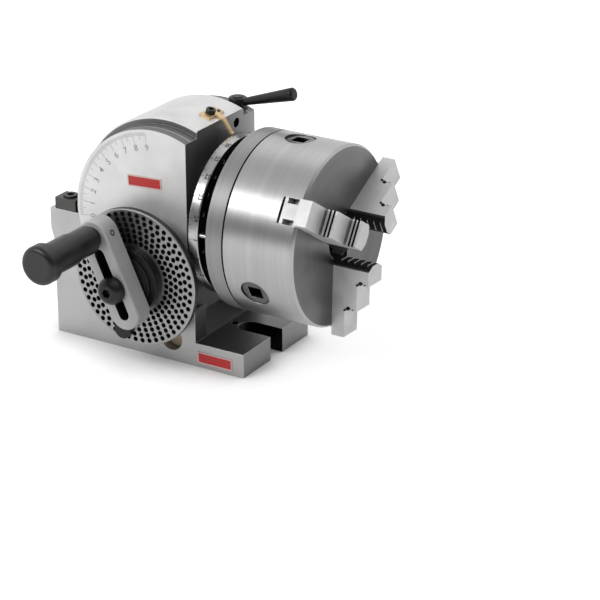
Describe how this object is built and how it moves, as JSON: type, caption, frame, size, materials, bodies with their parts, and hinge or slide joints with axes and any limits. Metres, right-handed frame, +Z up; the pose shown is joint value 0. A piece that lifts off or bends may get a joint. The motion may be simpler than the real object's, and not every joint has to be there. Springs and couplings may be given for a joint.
{
  "type": "dividing head",
  "caption": "Tilting dividing head with a drilled index plate and crank on a worm drive, and a self-centring jaw chuck on its hollow spindle.",
  "frame": {"origin": "on the base's seating face, straight under the point where the tilt axis crosses the spindle axis", "axes": "+X along the spindle towards the chuck, -Y towards the index plate and crank, +Z up"},
  "size_m": [0.2362, 0.211, 0.1833],
  "materials": {
    "ground_iron": "ground",
    "dark_iron": "oiled",
    "turned_steel": "turned",
    "bright_steel": "ground",
    "black_steel": "blackened",
    "black_plastic": "satin",
    "brass": "plain"
  },
  "bodies": {
    "base": {"base": "ground_iron", "base_plug": "brass", "clamp_block_front": "dark_iron", "clamp_block_rear": "dark_iron", "clamp_screw_front": "black_steel", "clamp_screw_rear": "black_steel"},
    "head": {"swivel_housing": "ground_iron", "front_bearing": "turned_steel", "rear_bearing": "brass", "worm_bush": "turned_steel", "index_plate": "bright_steel", "spring_ring": "black_steel", "pointer": "brass", "lock_stud": "black_steel", "lock_washer": "black_steel"},
    "lever": {"lock_lever": "black_steel"},
    "sector_a": {"sector_arm_a": "black_steel"},
    "sector_b": {"sector_arm_b": "black_steel"},
    "spindle": {"spindle": "turned_steel", "rear_nut": "black_steel", "worm_wheel": "brass", "dial": "turned_steel", "dial_pin": "bright_steel", "adaptor_plate": "turned_steel", "chuck_body": "turned_steel", "chuck_cover": "turned_steel"},
    "scroll": {"scroll_plate": "bright_steel"},
    "jaw_1": {"jaw_1": "bright_steel"},
    "jaw_2": {"jaw_2": "bright_steel"},
    "jaw_3": {"jaw_3": "bright_steel"},
    "pinion_1": {"pinion_1": "black_steel"},
    "pinion_2": {"pinion_2": "black_steel"},
    "pinion_3": {"pinion_3": "black_steel"},
    "crank": {"worm_shaft": "bright_steel", "crank_arm": "bright_steel", "crank_nut": "black_steel", "plunger_sleeve": "black_steel"},
    "plunger": {"plunger_pin": "bright_steel", "plunger_knob": "black_plastic"}
  },
  "joints": [
    {"name": "head_tilt", "type": "hinge", "parent": "base", "child": "head", "pos_m": [0, 0, 0.1], "axis": [0, -1, 0], "range_deg": [-10, 90]},
    {"name": "spindle_spin", "type": "hinge", "parent": "head", "child": "spindle", "pos_m": [0, 0, 0.1], "axis": [1, 0, 0], "continuous": true},
    {"name": "crank_spin", "type": "hinge", "parent": "head", "child": "crank", "pos_m": [-0.0055, 0, 0.065], "axis": [0, -1, 0], "continuous": true},
    {"name": "plunger_pull", "type": "slide", "parent": "crank", "child": "plunger", "axis": [0, -1, 0], "range_m": [0, 0.006], "stiffness_N_per_m": 600, "springref_m": -0.008},
    {"name": "sector_a_turn", "type": "hinge", "parent": "head", "child": "sector_a", "pos_m": [-0.0055, 0, 0.065], "axis": [0, -1, 0], "continuous": true},
    {"name": "sector_b_turn", "type": "hinge", "parent": "head", "child": "sector_b", "pos_m": [-0.0055, 0, 0.065], "axis": [0, -1, 0], "continuous": true},
    {"name": "lock_turn", "type": "hinge", "parent": "head", "child": "lever", "pos_m": [0.016, 0.0365, 0.165], "axis": [0, 0, 1], "range_deg": [-15, 110]},
    {"name": "jaw_1_slide", "type": "slide", "parent": "spindle", "child": "jaw_1", "axis": [0, 0.887, 0.4617], "range_m": [-0.011, 0.009]},
    {"name": "jaw_2_slide", "type": "slide", "parent": "spindle", "child": "jaw_2", "axis": [0, -0.8434, 0.5373], "range_m": [-0.011, 0.009]},
    {"name": "jaw_3_slide", "type": "slide", "parent": "spindle", "child": "jaw_3", "axis": [0, -0.0436, -0.999], "range_m": [-0.011, 0.009]},
    {"name": "scroll_spin", "type": "hinge", "parent": "spindle", "child": "scroll", "pos_m": [0.09, 0, 0.1], "axis": [1, 0, 0], "range_deg": [-495, 405]},
    {"name": "pinion_1_spin", "type": "hinge", "parent": "spindle", "child": "pinion_1", "pos_m": [0.087, 0.00262, 0.15994], "axis": [0, 0.0436, 0.999], "range_deg": [-1485, 1215]},
    {"name": "pinion_2_spin", "type": "hinge", "parent": "spindle", "child": "pinion_2", "pos_m": [0.087, -0.05322, 0.07229], "axis": [0, -0.887, -0.4617], "range_deg": [-1485, 1215]},
    {"name": "pinion_3_spin", "type": "hinge", "parent": "spindle", "child": "pinion_3", "pos_m": [0.087, 0.0506, 0.06776], "axis": [0, 0.8434, -0.5373], "range_deg": [-1485, 1215]}
  ],
  "couplings": [
    {"joint": "crank_spin", "follows": "spindle_spin", "ratio": 40},
    {"joint": "jaw_2_slide", "follows": "jaw_1_slide", "ratio": 1},
    {"joint": "jaw_3_slide", "follows": "jaw_1_slide", "ratio": 1},
    {"joint": "scroll_spin", "follows": "jaw_1_slide", "rad_per_m": 785.4},
    {"joint": "pinion_1_spin", "follows": "jaw_1_slide", "rad_per_m": 2356.2},
    {"joint": "pinion_2_spin", "follows": "jaw_1_slide", "rad_per_m": 2356.2},
    {"joint": "pinion_3_spin", "follows": "jaw_1_slide", "rad_per_m": 2356.2}
  ]
}
